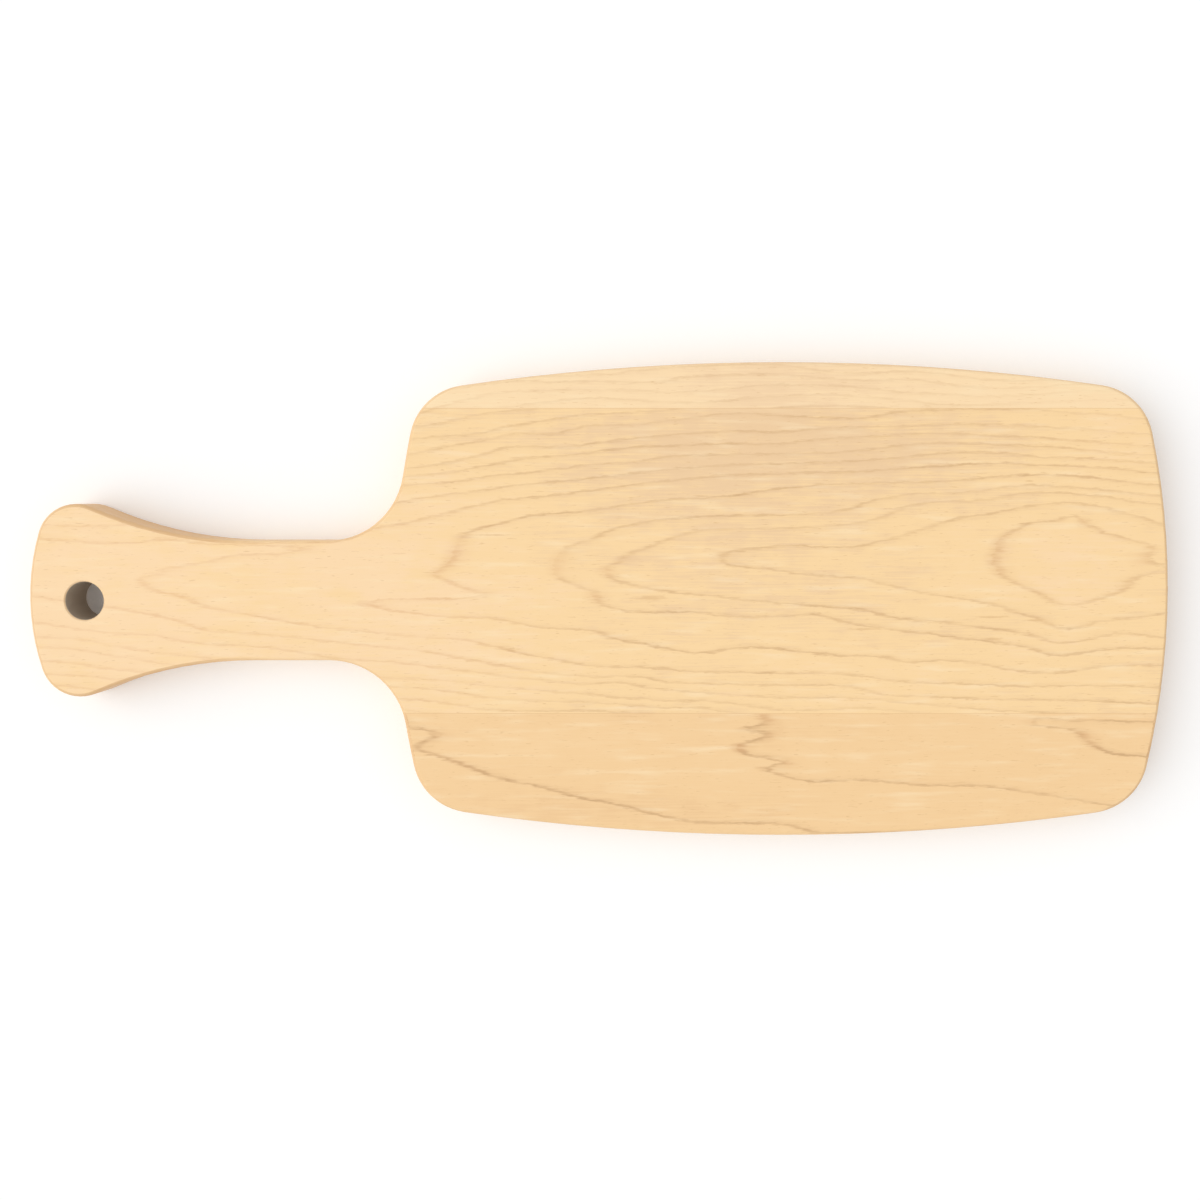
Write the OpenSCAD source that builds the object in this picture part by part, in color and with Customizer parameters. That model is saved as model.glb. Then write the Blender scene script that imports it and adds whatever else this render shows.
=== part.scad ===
// Paddle serving board in hard maple: three staves glued edge to edge, sawn to a paddle, edges eased.
// The board lies flat. +X runs from the handle to the blade's end, +Y to the narrow stave, +Z up.
// The origin is in the underside, at the middle of the board's length and width.

/* [Board] */
// Overall length, from the handle's end to the blade's end
overall_length = 457.2; // [430:0.2:500]
// Thickness of the planed staves
board_thickness = 19; // [14:0.5:30]
// Radius of the easing run round every outer edge, top and bottom
arris_radius = 1.6; // [0.8:0.1:4]

/* [Blade] */
// Width of the blade at the crown of its long sides
blade_width = 190.5; // [176:0.5:210]
// Distance from the blade's end to the crown of the long sides
crown_from_end = 155; // [145:1:165]
// Radius of the bow in the blade's long sides
side_bow_radius = 890; // [820:5:1100]
// Radius of the bow in the blade's end
end_bow_radius = 309; // [270:1:400]
// Radius of the two corners at the blade's end
corner_radius = 24.4; // [18:0.2:32]
// Radius of the two corners above the handle
shoulder_radius = 24.4; // [18:0.2:30]
// Distance from the handle's end to where the shoulder's edge, carried on straight, would cross the axis
shoulder_setback = 140; // [134:0.2:148]
// Lean of the shoulder's edge towards the blade as it leaves its corner, in degrees
shoulder_lean = 11.5; // [7:0.1:15]
// Radius of the slight bow in the shoulder's edge
shoulder_bow_radius = 500; // [400:10:800]

/* [Handle] */
// Width of the grip between its two straight edges
grip_width = 48.2; // [42:0.2:52]
// Radius of the hollow where the grip runs out into the shoulder
neck_radius = 31; // [24:0.5:35]
// Distance from the handle's end to where the flare starts
flare_from_end = 90; // [80:1:96]
// Radius of the hollow edge of the flare
flare_radius = 161; // [140:1:200]
// Radius of the two corners of the handle's end
pommel_radius = 15.8; // [12:0.1:18]
// Radius of the bow in the handle's end
pommel_bow_radius = 94; // [80:1:130]

/* [Hanging hole] */
// Diameter of the hole
hole_diameter = 15.4; // [10:0.1:22]
// Distance from the handle's end to the hole's centre
hole_from_end = 22.2; // [19:0.1:28]
// Width of the bevel that eases both rims of the hole
hole_bevel = 0.5; // [0.2:0.1:1.5]

/* [Glue-up] */
// Distance from the blade's back crown to the back glue joint
back_stave_width = 18.4; // [12:0.1:24]
// Distance from the blade's front crown to the front glue joint
front_stave_width = 49.8; // [42:0.1:54]
// Thickness of the cured glue in a joint
glue_thickness = 0.15; // [0.1:0.05:0.4]

/* [Hidden] */

// Fineness of the drawing; the curves themselves are true arcs, and long ones take finer steps
$fn = 96;
small_round_steps = 24;
function arc_steps(radius) = ceil(small_round_steps * sqrt(radius / arris_radius));

// How far a cut runs past what it cuts
overrun = 5;

// Steps of the first of the two moves that lay a position down
first_move_step = 0.001;

// How much of the grip's edge each of its two lengths covers
lap_share = 0.6;

// The rim is a band swept round the outline, and the core fills what it leaves
rim_width = 4 * arris_radius;
core_inset = 2.5 * arris_radius;
core_steps = 6;

half_width = blade_width / 2;
half_grip = grip_width / 2;
handle_tip = -overall_length / 2;
blade_tip = overall_length / 2;

// The centre stave takes the width that the outer two leave, and its joints lie along Y
centre_stave_width = blade_width - back_stave_width - front_stave_width;
front_joint = front_stave_width - half_width;
back_joint = front_joint + centre_stave_width;

function polar(radius, angle) = radius * [cos(angle), sin(angle)];
function bearing(from, to) = atan2(to.y - from.y, to.x - from.x);

// The point at one distance from a and another from b, to the left of the way from a to b
function two_reaches(a, reach_a, b, reach_b) =
    let (gap = norm(b - a), way = (b - a) / gap)
    let (along = (gap * gap + reach_a * reach_a - reach_b * reach_b) / (2 * gap))
    let (off = sqrt(reach_a * reach_a - along * along))
    a + way * along + [-way.y, way.x] * off;

// Arcs hand over at whole hundredths of a degree, so that neighbours end in exactly one plane.
// Where a run of arcs has to close, one radius gives way by a hair: the ones called reach.
angle_grain = 0.01;
function neat(angle) = round(angle / angle_grain) * angle_grain;

// Centres of the arcs of the upper half, from the blade's end round to the shoulder
end_bow_centre = [blade_tip - end_bow_radius, 0];
crown_centre = [blade_tip - crown_from_end, half_width - side_bow_radius];
end_to_corner = neat(bearing(end_bow_centre,
    two_reaches(end_bow_centre, end_bow_radius - corner_radius,
        crown_centre, side_bow_radius - corner_radius)));
corner_centre = end_bow_centre + polar(end_bow_radius - corner_radius, end_to_corner);
corner_to_side = neat(asin((corner_centre.y - crown_centre.y) / (side_bow_radius - corner_radius)));
side_bow_centre = corner_centre - polar(side_bow_radius - corner_radius, corner_to_side);

// The shoulder's edge leans, so its outward side faces the handle and a little up
shoulder_out = 180 - shoulder_lean;
shoulder_foot = [handle_tip + shoulder_setback, 0];
shoulder_reach = (side_bow_centre - shoulder_foot) * polar(1, shoulder_out) + shoulder_radius;
side_to_shoulder = neat(shoulder_out - acos(-shoulder_reach / (side_bow_radius - shoulder_radius)));
shoulder_centre = side_bow_centre + polar(side_bow_radius - shoulder_radius, side_to_shoulder);
shoulder_bow_centre = shoulder_centre
    - polar(shoulder_bow_radius - shoulder_radius, shoulder_out);
bow_to_neck = neat(180 - asin((half_grip + neck_radius - shoulder_bow_centre.y)
    / (shoulder_bow_radius + neck_radius)));
neck_reach = (shoulder_bow_centre.y + shoulder_bow_radius * sin(bow_to_neck) - half_grip)
    / (1 - sin(bow_to_neck));
neck_centre = shoulder_bow_centre + polar(shoulder_bow_radius + neck_reach, bow_to_neck);

// The handle's end
flare_centre = [handle_tip + flare_from_end, half_grip + flare_radius];
flare_to_pommel = neat(bearing(flare_centre,
    two_reaches([handle_tip + pommel_bow_radius, 0], pommel_bow_radius - pommel_radius,
        flare_centre, flare_radius + pommel_radius)));
pommel_centre = flare_centre + polar(flare_radius + pommel_radius, flare_to_pommel);
pommel_to_bow = neat(180 - asin(pommel_centre.y / (pommel_bow_radius - pommel_radius)));
pommel_bow_reach = pommel_radius + pommel_centre.y / sin(pommel_to_bow);
pommel_bow_centre = pommel_centre - polar(pommel_bow_reach - pommel_radius, pommel_to_bow);

// Section through the rim, with its outer face at 0 and the wood on the inward side of it
module rim_section(inward) {
    round_at = inward * arris_radius;
    polygon([
        [0, arris_radius],
        [0, board_thickness - arris_radius],
        [round_at, board_thickness],
        [inward * rim_width, board_thickness],
        [inward * rim_width, 0],
        [round_at, 0]
    ]);
    for (height = [arris_radius, board_thickness - arris_radius])
        translate([round_at, height]) circle(arris_radius, $fn = small_round_steps);
}

// A position is laid down in two moves, so that a long one keeps its last digits
module place(at) {
    first = [for (part = at) round(part / first_move_step) * first_move_step];
    translate(first) translate(at - first) children();
}

module swelling_edge(centre, radius, from, to) {
    place(centre)
        rotate_extrude(angle = to - from, start = from, $fn = arc_steps(radius))
            place([radius, 0]) rim_section(-1);
}

module hollow_edge(centre, radius, from, to) {
    place(centre)
        rotate_extrude(angle = to - from, start = from, $fn = arc_steps(radius))
            place([radius, 0]) rim_section(1);
}

// The grip's edge, laid as two lengths that lap, so that each starts from an exact end
module grip_edge() {
    run = neck_centre.x - flare_centre.x;
    lapped = round(run / first_move_step) * first_move_step * lap_share;
    place([flare_centre.x, half_grip])
        rotate([90, 0, 90]) linear_extrude(height = lapped) rim_section(-1);
    place([neck_centre.x, half_grip])
        rotate([90, 0, -90]) linear_extrude(height = lapped) rim_section(1);
}

// The edges of the upper half that don't cross the axis
module half_rim() {
    swelling_edge(corner_centre, corner_radius, end_to_corner, corner_to_side);
    swelling_edge(side_bow_centre, side_bow_radius, corner_to_side, side_to_shoulder);
    swelling_edge(shoulder_centre, shoulder_radius, side_to_shoulder, shoulder_out);
    swelling_edge(shoulder_bow_centre, shoulder_bow_radius, shoulder_out, bow_to_neck);
    hollow_edge(neck_centre, neck_reach, -90, bow_to_neck - 180);
    grip_edge();
    hollow_edge(flare_centre, flare_radius, flare_to_pommel, -90);
    swelling_edge(pommel_centre, pommel_radius, flare_to_pommel + 180, pommel_to_bow);
}

module rim() {
    half_rim();
    mirror([0, 1, 0]) half_rim();
    swelling_edge(end_bow_centre, end_bow_radius, -end_to_corner, end_to_corner);
    swelling_edge(pommel_bow_centre, pommel_bow_reach, pommel_to_bow, 360 - pommel_to_bow);
}

// Points inside an arc's rim, at even steps
function inset_arc(centre, radius, from, to) =
    [for (step = [0 : core_steps]) centre + polar(radius, from + (to - from) * step / core_steps)];

half_core = concat(
    inset_arc(end_bow_centre, end_bow_radius - core_inset, 0, end_to_corner),
    inset_arc(corner_centre, corner_radius - core_inset, end_to_corner, corner_to_side),
    inset_arc(side_bow_centre, side_bow_radius - core_inset, corner_to_side, side_to_shoulder),
    inset_arc(shoulder_centre, shoulder_radius - core_inset, side_to_shoulder, shoulder_out),
    inset_arc(shoulder_bow_centre, shoulder_bow_radius - core_inset, shoulder_out, bow_to_neck),
    inset_arc(neck_centre, neck_reach + core_inset, bow_to_neck - 180, -90),
    inset_arc(flare_centre, flare_radius + core_inset, -90, flare_to_pommel),
    inset_arc(pommel_centre, pommel_radius - core_inset, flare_to_pommel + 180, pommel_to_bow),
    inset_arc(pommel_bow_centre, pommel_bow_reach - core_inset, pommel_to_bow, 180)
);

module core() {
    lower_half = [for (i = [len(half_core) - 1 : -1 : 0]) [half_core[i].x, -half_core[i].y]];
    linear_extrude(height = board_thickness) polygon(concat(half_core, lower_half));
}

module hanging_hole() {
    bevel_radius = hole_diameter / 2 + hole_bevel;
    translate([handle_tip + hole_from_end, 0, 0]) {
        translate([0, 0, -overrun])
            cylinder(h = board_thickness + 2 * overrun, d = hole_diameter);
        translate([0, 0, board_thickness - hole_bevel])
            cylinder(h = 2 * hole_bevel, r1 = hole_diameter / 2, r2 = bevel_radius + hole_bevel);
        translate([0, 0, -hole_bevel])
            cylinder(h = 2 * hole_bevel, r1 = bevel_radius + hole_bevel, r2 = hole_diameter / 2);
    }
}

module sawn_blank() {
    rim();
    core();
}

// A strip along the blade between two lines across it. It starts at the neck, so it leaves the handle whole.
module blade_strip(from_y, to_y) {
    translate([neck_centre.x, from_y, -overrun])
        cube([blade_tip + overrun - neck_centre.x, to_y - from_y, board_thickness + 2 * overrun]);
}

module back_stave() {
    color("#fcdcb0")
        intersection() {
            sawn_blank();
            blade_strip(back_joint + glue_thickness / 2, half_width + overrun);
        }
}

// The centre stave carries the whole handle
module centre_stave() {
    color("#fbdaa9")
        difference() {
            sawn_blank();
            blade_strip(back_joint - glue_thickness / 2, half_width + overrun);
            blade_strip(-half_width - overrun, front_joint + glue_thickness / 2);
            hanging_hole();
        }
}

module front_stave() {
    color("#f6d1a0")
        intersection() {
            sawn_blank();
            blade_strip(-half_width - overrun, front_joint - glue_thickness / 2);
        }
}

module glue_line(joint) {
    color("#d9b27c")
        intersection() {
            sawn_blank();
            blade_strip(joint - glue_thickness / 2, joint + glue_thickness / 2);
        }
}

back_stave();
centre_stave();
front_stave();
glue_line(back_joint);  // back_glue_line
glue_line(front_joint);  // front_glue_line
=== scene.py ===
import math
from functools import partial

import bmesh
import bpy
import numpy as np
from mathutils import Matrix, Vector


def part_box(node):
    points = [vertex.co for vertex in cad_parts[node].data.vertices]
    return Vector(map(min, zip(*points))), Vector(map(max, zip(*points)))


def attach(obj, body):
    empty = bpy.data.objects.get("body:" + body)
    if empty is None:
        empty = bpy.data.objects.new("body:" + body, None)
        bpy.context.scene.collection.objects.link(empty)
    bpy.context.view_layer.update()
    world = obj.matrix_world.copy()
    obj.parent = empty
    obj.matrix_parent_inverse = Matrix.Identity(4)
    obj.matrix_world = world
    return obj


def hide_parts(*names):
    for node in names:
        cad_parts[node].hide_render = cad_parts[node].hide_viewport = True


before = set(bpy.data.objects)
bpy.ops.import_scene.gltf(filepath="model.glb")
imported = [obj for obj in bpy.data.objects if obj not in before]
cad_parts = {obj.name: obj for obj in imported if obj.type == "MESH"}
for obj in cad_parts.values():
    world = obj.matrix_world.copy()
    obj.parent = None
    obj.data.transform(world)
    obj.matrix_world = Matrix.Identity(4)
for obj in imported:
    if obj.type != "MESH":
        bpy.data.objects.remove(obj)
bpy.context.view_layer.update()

mm = 0.001  # the frame is in metres, and the sizes below are in millimetres

scene = bpy.context.scene
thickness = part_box("centre_stave")[1].z / mm


def linear(hexColour):
    # sRGB hex to the linear colour that shaders take
    parts = [int(hexColour[i:i + 2], 16) / 255 for i in (1, 3, 5)]
    return (*[p / 12.92 if p <= 0.04045 else ((p + 0.055) / 1.055) ** 2.4 for p in parts], 1)


def addNode(tree, kind, inputs=(), **settings):
    # adds one node with its settings. Its inputs are given in order or by name, and each is a
    # plain value, one output of an earlier node, or that node itself for its first live output
    node = tree.nodes.new("ShaderNode" + kind)
    for name, value in settings.items():
        setattr(node, name, value)
    live = [socket for socket in node.inputs if socket.enabled]
    for key, value in inputs.items() if isinstance(inputs, dict) else enumerate(inputs):
        socket = node.inputs[key] if isinstance(key, str) else live[key]
        if isinstance(value, bpy.types.Node):
            value = next(output for output in value.outputs if output.enabled)
        if isinstance(value, bpy.types.NodeSocket):
            tree.links.new(value, socket)
        else:
            socket.default_value = value
    return node


def blankMaterial(name):
    # a new material without nodes, and the function that adds them to it
    material = bpy.data.materials.new(name)
    material.use_nodes = True
    material.node_tree.nodes.clear()
    return material, partial(addNode, material.node_tree)


# Camera: stands over the board, a little right of its middle, as the photograph was taken
cameraSet = {
    "place": Vector((41.43, 39.99, 550.81)),
    "tiltX": math.radians(2.97),
    "tiltY": math.radians(-0.08),
    "focalPixels": 1329.9,
    "centrePixel": (700, 570),
    "framePixels": 1200,
    "sensorWidth": 36,
    "nearest": 10,
}


def makeCamera(cam):
    tilt = Matrix.Rotation(cam["tiltX"], 3, "X") @ Matrix.Rotation(cam["tiltY"], 3, "Y")
    turn = tilt.transposed()
    data = bpy.data.cameras.new("boardCamera")
    data.sensor_width = cam["sensorWidth"]
    data.lens = cam["sensorWidth"] * cam["focalPixels"] / cam["framePixels"]
    data.shift_x = 0.5 - cam["centrePixel"][0] / cam["framePixels"]
    data.shift_y = cam["centrePixel"][1] / cam["framePixels"] - 0.5
    data.clip_start = cam["nearest"] * mm
    camera = bpy.data.objects.new("boardCamera", data)
    camera.matrix_world = Matrix.Translation(cam["place"] * mm) @ turn.to_4x4()
    scene.collection.objects.link(camera)
    scene.camera = camera
    return turn


cameraTurn = makeCamera(cameraSet)
print("camera placed")


def onServingFace(pixels):
    # photograph pixels to (x, y) millimetres on the serving face
    place, focal = cameraSet["place"], cameraSet["focalPixels"]
    middleAcross, middleDown = cameraSet["centrePixel"]
    points = []
    for across, down in pixels:
        sight = Vector(((across - middleAcross) / focal, (middleDown - down) / focal, -1))
        ray = cameraTurn @ sight
        reach = (place.z - thickness) / -ray.z
        points.append((place.x + ray.x * reach, place.y + ray.y * reach))
    return np.array(points)


# Growth rings of the centre stave, read from the photograph in its own pixels. The first
# number counts rings outwards from the island near the blade's end, the second is how dark they are
centreRings = [
    (0, 0.85, [(993, 561), (996, 551), (1007, 533), (1032, 523), (1057, 521), (1075, 516),
               (1085, 523), (1107, 533), (1130, 540), (1145, 544), (1154, 551), (1147, 557),
               (1155, 563), (1165, 564)]),
    (0, 0.85, [(1165, 572), (1148, 574), (1133, 581), (1123, 591), (1095, 600), (1061, 605),
               (1045, 597), (1032, 590), (1002, 576), (995, 566)]),
    (1, 0.8, [(723, 557), (728, 552), (746, 550), (790, 546), (856, 546), (881, 541), (906, 535),
              (931, 526), (961, 518), (994, 513), (1032, 506), (1082, 504), (1120, 512),
              (1163, 525)]),
    (1, 0.8, [(733, 566), (764, 569), (813, 575), (860, 579), (906, 589), (956, 598), (994, 605),
              (1037, 618), (1055, 627), (1077, 628), (1095, 623), (1133, 618), (1163, 614)]),
    (2, 0.7, [(605, 570), (615, 563), (631, 553), (655, 544), (681, 535), (707, 530), (746, 529),
              (790, 528), (830, 526), (881, 517), (906, 507), (944, 502), (982, 500), (1019, 494),
              (1057, 493), (1107, 497), (1160, 504)]),
    (2, 0.8, [(615, 580), (641, 587), (673, 592), (707, 595), (746, 600), (790, 604), (830, 607),
              (868, 611), (893, 618), (944, 622), (982, 628), (1032, 635), (1057, 643),
              (1082, 641), (1115, 634), (1163, 637)]),
    (3, 0.8, [(555, 573), (556, 562), (563, 550), (573, 545), (589, 540), (615, 529), (641, 523),
              (668, 519), (720, 516), (790, 515), (825, 513), (850, 508), (893, 497), (918, 494),
              (956, 493), (994, 489), (1019, 486), (1070, 487), (1120, 492), (1160, 496)]),
    (3, 0.95, [(562, 580), (589, 590), (594, 598), (607, 607), (641, 612), (694, 612), (733, 616),
               (790, 616), (813, 615), (843, 622), (881, 628), (931, 634), (969, 639), (1002, 643),
               (1032, 649), (1055, 655), (1095, 651), (1163, 649)]),
    (4, 1.1, [(434, 575), (441, 569), (450, 562), (455, 549), (461, 537), (469, 532), (498, 524),
              (537, 515), (568, 513), (615, 507), (681, 499), (733, 496), (772, 489), (805, 486),
              (830, 484), (881, 483), (931, 482), (982, 478), (1019, 475), (1070, 476),
              (1120, 481), (1158, 486)]),
    (4, 0.9, [(441, 579), (457, 586), (472, 590), (486, 594), (472, 597), (445, 599), (406, 599),
              (375, 601), (358, 604), (378, 607), (406, 612), (485, 618), (537, 627), (594, 631),
              (607, 637), (641, 643), (678, 651), (702, 653), (733, 648), (790, 650), (843, 656),
              (881, 657), (906, 662), (944, 661), (994, 666), (1019, 671), (1057, 673),
              (1095, 668), (1163, 666)]),
    (5, 0.8, [(45, 525), (73, 526), (108, 526), (137, 523), (380, 527), (419, 520), (458, 510),
              (498, 501), (537, 497), (589, 491), (628, 485), (668, 481), (720, 476), (790, 473),
              (843, 472), (906, 468), (956, 465), (1007, 463), (1044, 465), (1107, 468),
              (1158, 473)]),
    (5, 0.8, [(40, 539), (63, 540), (85, 542), (110, 543), (132, 543), (164, 539), (185, 541),
              (205, 544), (239, 545), (270, 546), (290, 547), (306, 549), (290, 552), (265, 554),
              (239, 555), (222, 558), (206, 562), (192, 564), (180, 566), (163, 568), (158, 574),
              (146, 577), (141, 583), (149, 588), (156, 591), (181, 597), (206, 607), (239, 613),
              (277, 620), (327, 628), (380, 633), (419, 637), (458, 639)]),
    (5, 0.95, [(485, 644), (524, 654), (563, 661), (602, 667), (668, 669), (720, 672), (780, 673),
               (868, 677), (906, 682), (956, 683), (1057, 686), (1158, 687)]),
    (6, 0.7, [(401, 502), (445, 495), (485, 490), (524, 484), (563, 481), (615, 476), (655, 471),
              (707, 467), (746, 464), (790, 463), (868, 460), (906, 457), (944, 453), (994, 453),
              (1044, 457), (1095, 459), (1155, 463)]),
    (6, 0.8, [(34, 596), (64, 601), (108, 607), (148, 614), (180, 622), (212, 631), (287, 637),
              (352, 644), (419, 651), (458, 658), (498, 665), (537, 672), (602, 677), (668, 682),
              (720, 684), (790, 685), (856, 688), (886, 695), (956, 698)]),
    (7, 0.6, [(405, 485), (485, 477), (524, 473), (563, 468), (602, 464), (641, 461), (668, 456),
              (720, 455), (790, 454), (843, 452), (881, 448), (906, 445), (956, 443), (1007, 445),
              (1057, 447), (1107, 452), (1155, 455)]),
    (7, 0.6, [(38, 623), (85, 630), (118, 634), (151, 635), (181, 641), (239, 645), (277, 649),
              (302, 653), (340, 659), (378, 661), (420, 665), (485, 673), (537, 680), (615, 682),
              (668, 690), (720, 694), (790, 698), (881, 700), (931, 705)]),
    (8, 0.7, [(406, 476), (458, 471), (498, 463), (526, 458), (563, 455), (602, 451), (641, 447),
              (668, 446), (720, 444), (790, 443), (818, 439), (868, 437), (906, 434), (931, 433),
              (982, 435), (1032, 437), (1070, 440), (1120, 444), (1153, 447)]),
    (8, 0.6, [(39, 637), (75, 639), (113, 646), (151, 652), (189, 656), (211, 659), (388, 678),
              (432, 680), (485, 686), (537, 690), (576, 693), (615, 697), (668, 701), (780, 710)]),
    (9, 0.65, [(409, 468), (445, 463), (485, 454), (500, 449), (526, 446), (563, 447), (602, 442),
               (641, 438), (681, 434), (746, 431), (790, 431), (830, 428), (906, 426), (944, 424),
               (982, 424), (1032, 426), (1082, 429), (1128, 433), (1153, 434)]),
    (9, 0.6, [(41, 647), (75, 649), (113, 656), (138, 659), (163, 664), (396, 687), (432, 689),
              (485, 697), (537, 701), (602, 703), (641, 706), (694, 707)]),
    (10, 0.7, [(411, 454), (445, 447), (485, 440), (511, 434), (553, 434), (584, 426), (615, 425),
               (668, 421), (707, 416), (746, 413), (790, 416), (856, 418), (893, 413), (911, 411),
               (1039, 410), (1070, 413), (1107, 414), (1133, 418)]),
    (10, 0.6, [(44, 661), (75, 663), (101, 668), (133, 671), (403, 699), (458, 705), (485, 709),
               (524, 711)]),
    (11, 0.6, [(413, 439), (485, 433), (516, 425), (563, 417), (602, 414), (668, 410)]),
    (11, 0.5, [(55, 675), (88, 676), (118, 680), (406, 711)]),
    (12, 0.6, [(415, 427), (461, 418), (498, 412), (521, 410)]),
    (12, 0.5, [(58, 685), (83, 688)]),
    (13, 0.6, [(422, 412)]),
    # between lines: inside the island, in the two fingers by the neck and in the strip along the grip
    (-0.4, 1.0, [(1045, 560), (1085, 558), (1120, 560)]),
    (4.25, 0.9, [(420, 588), (445, 590)]),
    (3.8, 0.9, [(405, 606), (440, 607), (480, 608)]),
    (4.9, 0.8, [(80, 532), (120, 535), (330, 560)]),
    (4.88, 0.8, [(324, 549), (340, 552), (370, 556)]),
    (4.94, 0.8, [(225, 539), (270, 541)]),
    (5.1, 0.8, [(150, 552), (200, 553), (235, 550), (270, 550)]),
]

# The back stave counts its rings from the joint outwards
backRings = [
    (1, 0.45, [(539, 403), (562, 400), (599, 398), (674, 402), (711, 402), (748, 398), (790, 396),
               (843, 395), (906, 400), (931, 404)]),
    (1, 0.15, [(1050, 402), (1082, 401), (1120, 400)]),
    (2, 0.55, [(445, 406), (462, 401), (494, 394), (524, 391), (594, 390), (691, 392), (723, 389),
               (790, 385)]),
    (2, 0.3, [(843, 386), (906, 393), (944, 394), (1027, 395), (1082, 391), (1107, 391)]),
    (3, 0.5, [(524, 381), (594, 381), (659, 382), (686, 377), (723, 375), (790, 375)]),
    (3, 0.3, [(850, 380), (906, 379), (971, 387)]),
    (4, 0.35, [(569, 375), (611, 374), (636, 371), (686, 367), (711, 365), (790, 366),
               (843, 373)]),
    (4, 0.45, [(881, 372), (936, 373), (994, 380), (1047, 380)]),
]

# The front stave shows one long clear line and the fainter V inside it
frontRings = [
    (2, 1.7, [(412, 728), (421, 729), (430, 731), (434, 735), (426, 740), (419, 745), (418, 749),
              (430, 754), (445, 758), (456, 762), (481, 772), (521, 783), (546, 788), (576, 797),
              (609, 803), (635, 809), (653, 814), (672, 818), (697, 822), (748, 823), (790, 826),
              (800, 829)]),
    (1, 1.5, [(762, 715), (764, 723), (745, 729), (766, 734), (760, 739), (741, 744), (739, 749),
              (746, 754), (763, 757), (783, 762), (764, 769), (775, 773), (800, 780)]),
    (1, 1.2, [(850, 780), (920, 785), (1000, 788), (1110, 805)]),
    (0, 1.5, [(1158, 722), (1125, 721), (1092, 720)]),
    (0, 0.7, [(1060, 720), (1032, 722), (1036, 725), (1058, 728), (1075, 731)]),
    (0, 1.6, [(1085, 739), (1092, 745), (1103, 751), (1125, 755), (1150, 757)]),
    # between lines, on both sides of the V and beyond the long line
    (-0.3, 1.3, [(1115, 735), (1145, 738)]),
    (0.35, 1.3, [(1010, 723), (1050, 736), (1075, 748), (1110, 768), (1140, 772)]),
    (0.75, 1.4, [(788, 716), (792, 730), (768, 746), (800, 758), (815, 772)]),
    (1.2, 1.4, [(742, 716), (722, 730), (718, 747), (735, 764), (752, 774), (790, 789)]),
    (1.5, 1.0, [(500, 735), (560, 735), (650, 770)]),
    (2.3, 1.0, [(412, 762), (425, 785), (480, 800), (560, 818), (660, 835)]),
]

ringPlate = {
    "alongShare": 0.3,  # how much a millimetre along the grain counts beside one across it
    "slack": 0.05,  # how loosely the plate holds to each point, so that it stays smooth
    "darkReach": 5.0,  # how far from its line a ring's darkness counts
    "ringWidth": 2.6,  # growth a year, in the depth of the board
    "heartDepth": 60.0,  # how far under the serving face the heart of the log lay
    "spotsAtOnce": 20000,  # keeps the sums small enough for the memory
    "leastGap": 1e-6,  # keeps a logarithm from meeting zero
}


def ringField(rings, spots):
    # a thin plate bent through the ring lines; it is stiffer along the board, as the grain is
    places = np.vstack([onServingFace(pixels) for level, dark, pixels in rings])
    levels = np.concatenate([[level] * len(pixels) for level, dark, pixels in rings])
    darks = np.concatenate([[dark] * len(pixels) for level, dark, pixels in rings])
    squeeze = np.array([ringPlate["alongShare"], 1.0])
    knots = places * squeeze
    size = len(knots)
    gaps = np.maximum(np.linalg.norm(knots[:, None] - knots[None], axis=2), ringPlate["leastGap"])
    system = np.zeros((size + 3, size + 3))
    system[:size, :size] = gaps ** 2 * np.log(gaps) + ringPlate["slack"] * np.eye(size)
    system[:size, size:] = np.hstack([np.ones((size, 1)), knots])
    system[size:, :size] = system[:size, size:].T
    solved = np.linalg.solve(system, np.concatenate([levels, np.zeros(3)]))
    weights, base, lean = solved[:size], solved[size], solved[size + 1:]

    level, dark, rise = np.empty(len(spots)), np.empty(len(spots)), np.zeros((len(spots), 3))
    for start in range(0, len(spots), ringPlate["spotsAtOnce"]):
        part = slice(start, start + ringPlate["spotsAtOnce"])
        here = spots[part] * squeeze
        away = here[:, None] - knots[None]
        gap = np.maximum(np.linalg.norm(away, axis=2), ringPlate["leastGap"])
        level[part] = (gap ** 2 * np.log(gap)) @ weights + base + here @ lean
        pull = (2 * np.log(gap) + 1) * weights
        rise[part, :2] = (np.einsum("ij,ijk->ik", pull, away) + lean) * squeeze
        near = np.exp(-(gap / ringPlate["darkReach"]) ** 2) + 1e-9  # never sums to zero
        dark[part] = near @ darks / near.sum(1)
    return level, dark, rise


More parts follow.
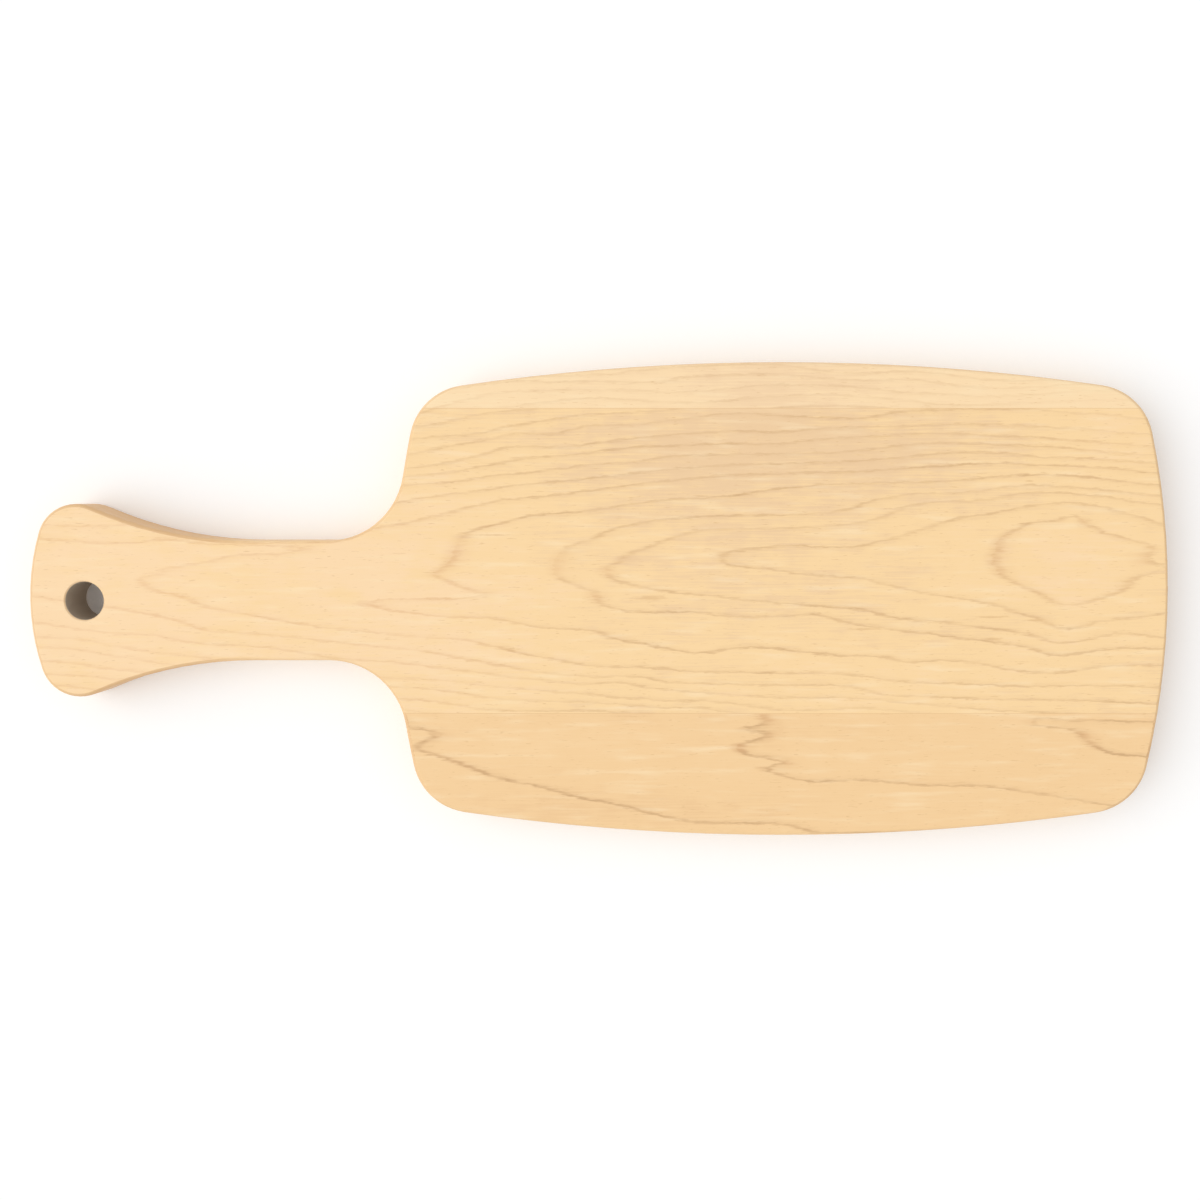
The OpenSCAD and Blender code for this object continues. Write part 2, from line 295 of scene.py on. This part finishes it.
# Each stave: its rings, the line over the heart of its log, and soft patches of deeper or paler
# tone, given as a photograph pixel, the reach along and across in millimetres, and the depth.
# The centre stave also has short streaks, given as a pixel, half the length and half the width
staves = {
    "back_stave": {
        "piece": "backStave", "slot": "maple_back", "rings": backRings, "heartLine": 70,
        "tone": 0.25,
        "patches": [((780, 388), (95, 30), 0.55), ((430, 400), (30, 20), -0.1)],
    },
    "centre_stave": {
        "piece": "centreStave", "slot": "maple_centre", "rings": centreRings, "heartLine": 0,
        "tone": 0.5,
        "patches": [((60, 600), (110, 60), -0.45), ((760, 440), (85, 22), 0.5),
                    ((680, 560), (60, 30), 0.2), ((440, 620), (45, 60), -0.22),
                    ((1075, 560), (28, 18), -0.2), ((347, 595), (7, 2.5), 0.6),
                    ((350, 570), (22, 12), -0.35), ((460, 537), (14, 2), 0.25),
                    ((1100, 440), (28, 18), -0.2)],
        "dashes": [((865, 629), 8, 0.6), ((992, 617), 7.5, 0.6), ((1035, 620), 5, 0.7),
                   ((992, 639), 5, 0.7), ((650, 598), 8, 1.4), ((494, 535), 9, 0.5),
                   ((1030, 481), 2, 0.5), ((700, 496), 4, 0.4)],
        "hole": {"place": (-206.4, 0, 0), "radius": 7.73},
    },
    "front_stave": {
        "piece": "frontStave", "slot": "maple_front", "rings": frontRings, "heartLine": -40,
        "tone": 0.5,
        "patches": [((520, 745), (40, 10), -0.15), ((560, 810), (60, 10), 0.25)],
    },
}

cuts = {
    "coarseStep": 3.0,  # between the cuts that run through the whole piece
    "fineStep": 1.25,  # between those of the serving face and its eased edge
    "easedDepth": 1.7,  # the eased edge lies above this depth
    "weld": 0.001,
    "planeSlack": 0.0001,
}


def cutAcross(mesh, faces, axis, step, first, last):
    # plane cuts first to last let flat faces carry the ring map; the shape stays as it is
    if first > last:
        return faces
    middle = (first + last) // 2
    cut = middle * step * mm
    normal = Vector((0, 0, 0))
    normal[axis] = 1
    corners = {corner for face in faces for corner in face.verts}
    edges = {edge for face in faces for edge in face.edges}
    result = bmesh.ops.bisect_plane(mesh, geom=[*faces, *edges, *corners], plane_co=normal * cut,
                                    plane_no=normal, dist=cuts["planeSlack"] * mm)
    behind, ahead = [], []
    for face in result["geom"]:
        if isinstance(face, bmesh.types.BMFace):
            side = ahead if face.calc_center_median()[axis] > cut else behind
            side.append(face)
    return cutAcross(mesh, behind, axis, step, first, middle - 1) \
        + cutAcross(mesh, ahead, axis, step, middle + 1, last)


def finerCopy(node, name):
    # a copy of the CAD piece with its loose triangles joined, and enough corners for the ring map
    low, high = (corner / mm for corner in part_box(node))
    easedFrom = (thickness - cuts["easedDepth"]) * mm
    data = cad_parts[node].data.copy()
    data.name = name
    mesh = bmesh.new()
    mesh.from_mesh(data)
    bmesh.ops.remove_doubles(mesh, verts=mesh.verts[:], dist=cuts["weld"] * mm)
    faces = mesh.faces[:]
    for size in (("coarseStep", "fineStep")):
        step = cuts[size]
        for axis in (0, 1):
            first, last = math.ceil(low[axis] / step), math.floor(high[axis] / step)
            faces = cutAcross(mesh, faces, axis, step, first, last)
        faces = [face for face in faces if min(corner.co.z for corner in face.verts) > easedFrom]
    mesh.to_mesh(data)
    mesh.free()
    return data


def mapRings(data, stave):
    # gives each corner its place among the rings, which dip from the serving face towards the
    # heart of the log, and how deep the board's tone is there
    spots = np.empty(len(data.vertices) * 3)
    data.vertices.foreach_get("co", spots)
    spots = spots.reshape(-1, 3) / mm
    level, dark, rise = ringField(stave["rings"], spots[:, :2])
    heart = ringPlate["heartDepth"]
    tilt = heart / np.hypot(spots[:, 1] - stave["heartLine"], heart)
    rise[:, 2] = -tilt / ringPlate["ringWidth"]
    level -= (thickness - spots[:, 2]) * rise[:, 2]
    tone = np.full(len(spots), stave["tone"])
    for pixel, reach, depth in stave["patches"]:
        away = (spots[:, :2] - onServingFace([pixel])) / reach
        tone += depth * np.exp(-(away ** 2).sum(1))
    for name, values in (("ringLevel", level), ("ringDark", dark), ("boardTone", tone)):
        attribute = data.attributes.new(name, "FLOAT", "POINT")
        attribute.data.foreach_set("value", values.astype(np.float32))
    attribute = data.attributes.new("ringRise", "FLOAT_VECTOR", "POINT")
    attribute.data.foreach_set("vector", rise.astype(np.float32).ravel())


# Which faces count as level or as a wall, by how upright their normal is, and how sharp a bend
# may be that still shades as a round
shading = {"level": 0.9999, "wall": 0.01, "bend": math.radians(40)}


def roundedNormals(data):
    # flat faces keep their own normal right up to the eased edge, and the edge shades as a round
    count = len(data.polygons)
    normals, areas = np.empty(count * 3), np.empty(count)
    totals, loopVertex = np.empty(count, int), np.empty(len(data.loops), int)
    data.polygons.foreach_get("normal", normals)
    data.polygons.foreach_get("area", areas)
    data.polygons.foreach_get("loop_total", totals)
    data.loops.foreach_get("vertex_index", loopVertex)
    normals = normals.reshape(-1, 3)
    loopFace = np.repeat(np.arange(count), totals)
    facing = {}
    for vertex, face in zip(loopVertex, loopFace):
        facing.setdefault(vertex, []).append(face)
    closeTo = math.cos(shading["bend"])
    out = np.empty((len(loopVertex), 3))
    for i, (vertex, face) in enumerate(zip(loopVertex, loopFace)):
        own = normals[face]
        if abs(own[2]) > shading["level"]:
            out[i] = own
            continue
        near = [f for f in facing[vertex] if normals[f] @ own > closeTo]
        level = [f for f in near if abs(normals[f][2]) > shading["level"]]
        wall = [f for f in near if abs(normals[f][2]) < shading["wall"]]
        chosen = level or wall or near
        total = (normals[chosen] * areas[chosen][:, None]).sum(0)
        out[i] = total / max(np.linalg.norm(total), 1e-12)
    data.normals_split_custom_set(out.tolist())


# Hard maple, planed, sanded and oiled: the eye gets a pale, close-grained wood with thin tan ring
# lines, short flecks and a low satin sheen
mapleTones = {
    "maple_back": {"pale": "#fde2b6", "middle": "#fcddb0", "deep": "#f5d4aa"},
    "maple_centre": {"pale": "#fcdaad", "middle": "#fbd8a3", "deep": "#f0cda1"},
    "maple_front": {"pale": "#f8d4a2", "middle": "#f6d09c", "deep": "#f0c895"},
}
mapleLook = {
    "line": "#d4ad7e", "paleLine": "#e2b07c", "crossLine": "#dfae7c", "gleam": "#ffe6bd",
    # the edge colour on the next line is painted shade on the eased edges and the sides
    "fleck": "#d9b07c", "dash": "#d2a672", "edge": "#e6bf8e", "endGrain": "#dfb27c",
    # the first colour on the next line is painted shade on the flare's side that faces away from the
    # lamp
    "paintedFlareShade": "#d8ab79", "hole": "#bbab98",
    # the hole colour above is painted shade on the drilled wall
    "ior": 1.5,
    "sheen": 0.35,
    "fleckDrop": -0.8,  # flecks lie lower than the fibres by this share
    "reliefHeight": 0.04,
    "reliefStrength": 0.2,

    # a ring line that runs along the grain, and what is added to it where it crosses the grain.
    # The core reaches to both sides and the fade to the older wood, in millimetres
    "coreReach": (0.68, 5.5),
    "fadeReach": (-2.2, -11.0),
    "fadeDepth": (0.2, 0.15),
    "lineDepth": (1.0, -0.35),
    "coreDepth": 0.46,
    "fadeEnd": 0.8,  # where the fade ends on the younger side
    "leastSlope": 0.03,  # rings a millimetre, so that a line never grows without end

    # masks: the values where each begins and is full, then what it gives there, if not 0 and 1
    "middleTone": (0.0, 0.5),
    "deepTone": (0.5, 1.0),
    "lineStrength": (0.05, 0.55, 0.66, 0.94),  # lines are fainter where the board is pale
    "coolerLine": (0.1, 0.5),
    "dashBody": (1.1, 0.2, 0.0, 0.4),
    "endward": (0.02, 0.2),
    "endGrainPart": (0.6, 1.0, 0.0, 0.5),
    # painted shade on the flare: on its round, on its side away from the lamp, and towards the
    # handle's end
    "paintedFlareShadeRound": (0.999, 0.97),
    "paintedFlareShadeSide": (-0.6, 0.0, 0.0, 0.55),
    "paintedFlareShadeLength": (-130, -165),

    # where on the round the painted edge shade begins and is full, and how deep it then is
    "longSides": (0.898, 0.5, 0.3),
    "ends": (0.998, 0.95, 0.55),

    # millimetres outside the hole's radius: where the painted edge and flare shade stop clear of the
    # rim, and where the painted shade on the drilled wall begins
    "clearOfRim": (0.6, 0.8),
    "paintedHoleShade": (0.05, 0.0),
}

# Patterns in the wood: a cell's length along the grain and its width in millimetres, the detail
# in it, where along the log it starts, which part of the noise counts, and what that part turns
# into. (0, 1) takes the noise as it is, and a narrower part has soft ends
grainPatterns = {
    "sway": (30, 5, 2, 0, (0, 1), (-0.5, 0.5)),
    "stagger": (5, 0.9, 3, 5, (0, 1), (-1.1, 1.1)),
    "jag": (30, 0.8, 3, 0, (0, 1), (-2.5, 2.5)),  # one fibre bundle at a time
    "ebb": (45, 8, 3, 3, (0.3, 0.7), (0.55, 1.2)),
    "breaks": (8, 1.2, 2, 23, (0.3, 0.7), (0.65, 1.3)),
    "cloud": (90, 14, 2, 7, (0.3, 0.7), (-0.12, 0.12)),
    "shimmer": (9, 7, 2, 31, (0.3, 0.7), (-0.1, 0.1)),
    "fibre": (20, 0.7, 3, 11, (0.25, 0.75), (-0.16, 0.16)),  # some 30 real fibres wide, to show
    "gleam": (28, 3.2, 3, 53, (0.5, 0.8), (0, 0.55)),
    "ragged": (3, 0.7, 2, 0, (0, 1), (-0.6, 0.6)),
    "fleck": (3.5, 0.4, 1, 19, (0.66, 0.78), (0, 0.45)),  # four times as large as real, to show
    "pore": (0.5, 0.5, 1, 41, (0.62, 0.75), (0, 0.35)),  # five times as wide as real, to show
    "raised": (12, 0.35, 3, 13, (0, 1), (0, 1)),
    "oil": (20, 3, 2, 17, (0.3, 0.7), (0.42, 0.54)),  # gives the roughness of satin oil
}
soft = {"interpolation_type": "SMOOTHSTEP"}


def grainNoise(add, spot, name, shift=0):
    # one of the patterns above; the shift moves it along the log
    length, width, detail, start, (low, high), (least, most) = grainPatterns[name]
    cell = add("Mapping", {"Vector": spot, "Location": (start + shift, start + shift, 0),
                           "Scale": (1 / length, 1 / width, 1 / width)})
    noise = add("TexNoise", {"Vector": cell, "Scale": 1, "Detail": detail})
    ends = {"clamp": False} if (low, high) == (0, 1) else soft
    return add("MapRange", (noise, low, high, least, most), **ends)


def ringLines(add, grain, outward, look):
    # how strong the ring lines are at a spot, and how far they cross the grain there
    ringRise = add("Attribute", attribute_name="ringRise").outputs["Vector"]
    ringLevel = add("Attribute", attribute_name="ringLevel").outputs["Fac"]
    ringDark = add("Attribute", attribute_name="ringDark").outputs["Fac"]

    # how fast the rings pass along this face, and how much of that is along the grain
    sunk = add("VectorMath", (ringRise, outward), operation="DOT_PRODUCT")
    inward = add("VectorMath", (outward, sunk), operation="SCALE")
    flatRise = add("VectorMath", (ringRise, inward), operation="SUBTRACT")
    steepness = add("VectorMath", (flatRise,), operation="LENGTH")
    slope = add("Math", (steepness, look["leastSlope"]), operation="MAXIMUM")
    run = add("Math", (add("SeparateXYZ", (flatRise,)),), operation="ABSOLUTE")
    crossing = add("Math", (run, slope), operation="DIVIDE")
    crossing = add("Math", (crossing, 1), operation="MINIMUM")
    across = add("Math", (crossing, crossing), operation="MULTIPLY")

    # lines wander a little with the fibres, and where a ring crosses the grain it breaks into jags
    jags = add("Math", (grain("jag"), run), operation="MULTIPLY")
    wander = add("Math", (grain("sway"), grain("stagger")), operation="ADD")
    wander = add("Math", (wander, slope, jags), operation="MULTIPLY_ADD")
    level = add("Math", (ringLevel, wander), operation="ADD")
    nearest = add("Math", (level,), operation="ROUND")
    aside = add("Math", (level, nearest), operation="SUBTRACT")
    aside = add("Math", (aside, slope), operation="DIVIDE")

    # dark core, with a fade on the side of the older wood; both widen across the grain
    coreReach, fadeReach, fadeDepth, lineDepth = [
        add("Math", (across, look[name][1], look[name][0]), operation="MULTIPLY_ADD")
        for name in ("coreReach", "fadeReach", "fadeDepth", "lineDepth")]
    offset = add("Math", (aside,), operation="ABSOLUTE")
    core = add("MapRange", (offset, coreReach, 0), **soft)
    fade = add("MapRange", (aside, fadeReach, 0), **soft)
    fadeEnd = add("MapRange", (aside, look["fadeEnd"], 0), **soft)
    for share in (fadeEnd, fadeDepth):
        fade = add("Math", (fade, share), operation="MULTIPLY")
    ringMark = add("Math", (core, look["coreDepth"], fade), operation="MULTIPLY_ADD")
    for share in (grain("ebb"), grain("breaks"), ringDark, lineDepth):
        ringMark = add("Math", (ringMark, share), operation="MULTIPLY")
    return ringMark, across


def woodColour(add, grain, outward, shades, look):
    # the board's own tone with slow clouds, the shimmer of wavy grain, fibres and pale gleams
    boardTone = add("Attribute", attribute_name="boardTone").outputs["Fac"]
    depth = boardTone
    for name in ("cloud", "shimmer", "fibre"):
        depth = add("Math", (depth, grain(name)), operation="ADD")
    colour = linear(shades["pale"])
    for name in ("middle", "deep"):
        share = add("MapRange", (depth, *look[name + "Tone"]), **soft)
        colour = add("Mix", (share, colour, linear(shades[name])), data_type="RGBA")
    colour = add("Mix", (grain("gleam"), colour, linear(look["gleam"])), data_type="RGBA")

    # ring lines are warmer where the board is pale and where they cross the grain
    ringMark, across = ringLines(add, grain, outward, look)
    strength = add("MapRange", (boardTone, *look["lineStrength"]), **soft)
    ringMark = add("Math", (ringMark, strength), operation="MULTIPLY")
    share = add("MapRange", (boardTone, *look["coolerLine"]), **soft)
    line = add("Mix", (share, linear(look["paleLine"]), linear(look["line"])), data_type="RGBA")
    line = add("Mix", (across, line, linear(look["crossLine"])), data_type="RGBA")
    return add("Mix", (ringMark, colour, line), data_type="RGBA")


def drawDash(add, grain, spot, dash, colour, look):
    # a short dark streak with ragged ends
    pixel, halfLength, halfWidth = dash
    middle = (*onServingFace([pixel])[0], 0)
    away = add("VectorMath", (spot, middle), operation="SUBTRACT")
    away = add("VectorMath", (away, (1 / halfLength, 1 / halfWidth, 0)), operation="MULTIPLY")
    away = add("VectorMath", (away,), operation="LENGTH")
    away = add("Math", (away, grain("ragged", halfLength)), operation="ADD")
    share = add("MapRange", (away, *look["dashBody"]), **soft)
    return add("Mix", (share, colour, linear(look["dash"])), data_type="RGBA")


def paintedShadeAndEndGrain(add, grain, spot, outward, hole, colour, look):
    # painted shade on the eased edges and the sides, and more painted shade on the flare's side away
    # from the lamp
    facing = add("SeparateXYZ", (outward,)).outputs
    upright = add("Math", (facing["Z"],), operation="ABSOLUTE")
    endward = add("Math", (facing["X"],), operation="ABSOLUTE")
    towardsEnd = add("MapRange", (endward, *look["endward"]), **soft)
    begins, full, most = [
        add("Math", (towardsEnd, end - side, side), operation="MULTIPLY_ADD")
        for side, end in zip(look["longSides"], look["ends"])]
    edge = add("MapRange", (upright, begins, full, 0, most), **soft)
    paintedFlareShade = add("MapRange", (facing["X"], *look["paintedFlareShadeSide"]), **soft)
    alongBoard = add("SeparateXYZ", (spot,))
    for value, name in ((upright, "paintedFlareShadeRound"), (alongBoard, "paintedFlareShadeLength")):
        share = add("MapRange", (value, *look[name]), **soft)
        paintedFlareShade = add("Math", (paintedFlareShade, share), operation="MULTIPLY")
    if hole:
        flatSpot = add("VectorMath", (spot, (1, 1, 0)), operation="MULTIPLY")
        fromHole = add("VectorMath", (flatSpot, hole["place"]), operation="DISTANCE")
        fromWall = add("Math", (fromHole, hole["radius"]), operation="SUBTRACT")
        beyondRim = add("MapRange", (fromWall, *look["clearOfRim"]), **soft)
        edge = add("Math", (edge, beyondRim), operation="MULTIPLY")
        paintedFlareShade = add("Math", (paintedFlareShade, beyondRim), operation="MULTIPLY")
    for share, name in ((edge, "edge"), (paintedFlareShade, "paintedFlareShade")):
        colour = add("Mix", (share, colour, linear(look[name])), data_type="RGBA")

    # end grain drinks the most oil and shows its pores
    endGrain = add("MapRange", (endward, *look["endGrainPart"]), **soft)
    pores = add("Math", (grain("pore"), endGrain), operation="MULTIPLY")
    for share, name in ((endGrain, "endGrain"), (pores, "line")):
        colour = add("Mix", (share, colour, linear(look[name])), data_type="RGBA")

    # painted shade on the drilled wall, which lies in the shade of the hole
    if hole:
        wall = add("MapRange", (fromWall, *look["paintedHoleShade"]), **soft)
        colour = add("Mix", (wall, colour, linear(look["hole"])), data_type="RGBA")
    return colour


def mapleMaterial(stave, look):
    material, add = blankMaterial("oiledHardMaple." + stave["piece"])
    coords = add("TexCoord").outputs
    outward = coords["Normal"]
    spot = add("VectorMath", (coords["Object"], 1 / mm), operation="SCALE")
    grain = partial(grainNoise, add, spot)

    colour = woodColour(add, grain, outward, mapleTones[stave["slot"]], look)
    for dash in stave.get("dashes", ()):
        colour = drawDash(add, grain, spot, dash, colour, look)
    fleck = grain("fleck")  # rays and pores
    colour = add("Mix", (fleck, colour, linear(look["fleck"])), data_type="RGBA")
    colour = paintedShadeAndEndGrain(add, grain, spot, outward, stave.get("hole"), colour, look)

    # sanded fibres stand a few hundredths of a millimetre proud under the oil
    height = add("Math", (fleck, look["fleckDrop"], grain("raised")), operation="MULTIPLY_ADD")
    relief = add("Bump", {"Height": height, "Strength": look["reliefStrength"],
                          "Distance": look["reliefHeight"] * mm})
    shader = add("BsdfPrincipled", {
        "Base Color": colour, "Roughness": grain("oil"), "IOR": look["ior"],
        "Specular IOR Level": look["sheen"], "Normal": relief})
    add("OutputMaterial", {"Surface": shader})
    return material


def dressNode(node, name, data, material):
    # the dressed piece takes the place of the CAD one
    data.materials.clear()
    data.materials.append(material)
    piece = bpy.data.objects.new(name, data)
    scene.collection.objects.link(piece)
    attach(piece, "root")
    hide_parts(node)


for node, stave in staves.items():
    data = finerCopy(node, stave["piece"])
    mapRings(data, stave)
    roundedNormals(data)
    dressNode(node, stave["piece"], data, mapleMaterial(stave, mapleLook))
    print(stave["piece"], len(data.polygons), "faces")
print("staves dressed")


# Cured wood glue, sanded flush with the wood: the eye gets a hair of tan between two staves, a
# little patchy along the joint. The patches' length and width are in millimetres
gluePieces = {"back_glue_line": "backGlueFilm", "front_glue_line": "frontGlueFilm"}
glueLook = {
    "colour": "#ecc592", "dark": "#dcb07a", "roughness": 0.45,
    "patchLength": 16.67, "patchWidth": 1.667,
}


def glueMaterial(look):
    material, add = blankMaterial("curedWoodGlue")
    across = 1 / (look["patchWidth"] * mm)
    cell = add("Mapping", {"Vector": add("TexCoord").outputs["Object"],
                           "Scale": (1 / (look["patchLength"] * mm), across, across)})
    patchy = add("TexNoise", {"Vector": cell, "Scale": 1})
    tone = add("Mix", (patchy, linear(look["colour"]), linear(look["dark"])), data_type="RGBA")
    shader = add("BsdfPrincipled", {"Base Color": tone, "Roughness": look["roughness"]})
    add("OutputMaterial", {"Surface": shader})
    return material


curedGlue = glueMaterial(glueLook)
for node, name in gluePieces.items():
    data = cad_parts[node].data.copy()
    data.name = name
    dressNode(node, name, data, curedGlue)
print("glue films dressed")


# Floor and light: matt white paper, an even sky and one wide soft light from the handle's side
studio = {
    "floorSize": 6.0,
    "floorColour": "#fdfdfd",
    "floorRoughness": 0.9,
    "floorLift": 0.06,  # makes the paper white to the camera
    "liftFrom": (9, 10),  # the lift stops at the hole, where the paper lies in full shade
    "skyLight": 0.69,
    "keyLight": 1.37,
    "keySpread": math.radians(70),
    "keyFrom": (-0.8, 0.0, 0.75),
}
white = (1, 1, 1, 1)


def paperMaterial(look, hole):
    # matt uncoated paper: the eye gets an even white that keeps soft shadows
    material, add = blankMaterial("mattPaper")
    fromHole = add("VectorMath", (add("TexCoord").outputs["Object"], Vector(hole["place"]) * mm),
                   operation="DISTANCE")
    begins, full = look["liftFrom"]
    lift = add("MapRange", (fromHole, begins * mm, full * mm, 0, look["floorLift"]))
    lift = add("Math", (add("LightPath").outputs["Is Camera Ray"], lift), operation="MULTIPLY")
    shader = add("BsdfPrincipled", {
        "Base Color": linear(look["floorColour"]), "Roughness": look["floorRoughness"],
        "Emission Color": white, "Emission Strength": lift})
    add("OutputMaterial", {"Surface": shader})
    return material


def makeSky(look):
    # white to the camera and in reflections, and dimmer as a light
    world = bpy.data.worlds.new("studioWhite")
    scene.world = world
    world.use_nodes = True
    world.node_tree.nodes.clear()
    add = partial(addNode, world.node_tree)
    path = add("LightPath").outputs
    seen = add("Math", (path["Is Camera Ray"], path["Is Glossy Ray"]), operation="MAXIMUM")
    lit = add("Background", (white, look["skyLight"]))
    plain = add("Background", (white, 1))
    add("OutputWorld", {"Surface": add("MixShader", (seen, lit, plain))})


def makeStudio(look):
    bpy.ops.mesh.primitive_plane_add(size=look["floorSize"])
    floor = bpy.context.active_object
    floor.name = "tableTop"
    floor.data.materials.append(paperMaterial(look, staves["centre_stave"]["hole"]))
    makeSky(look)

    lampData = bpy.data.lights.new("softLamp", "SUN")
    lampData.energy = look["keyLight"]
    lampData.angle = look["keySpread"]
    lamp = bpy.data.objects.new("softLamp", lampData)
    lamp.location = look["keyFrom"]
    lamp.rotation_euler = (-lamp.location).to_track_quat("-Z", "Y").to_euler()
    scene.collection.objects.link(lamp)


makeStudio(studio)
scene.view_settings.view_transform = "Standard"
print("studio lit")
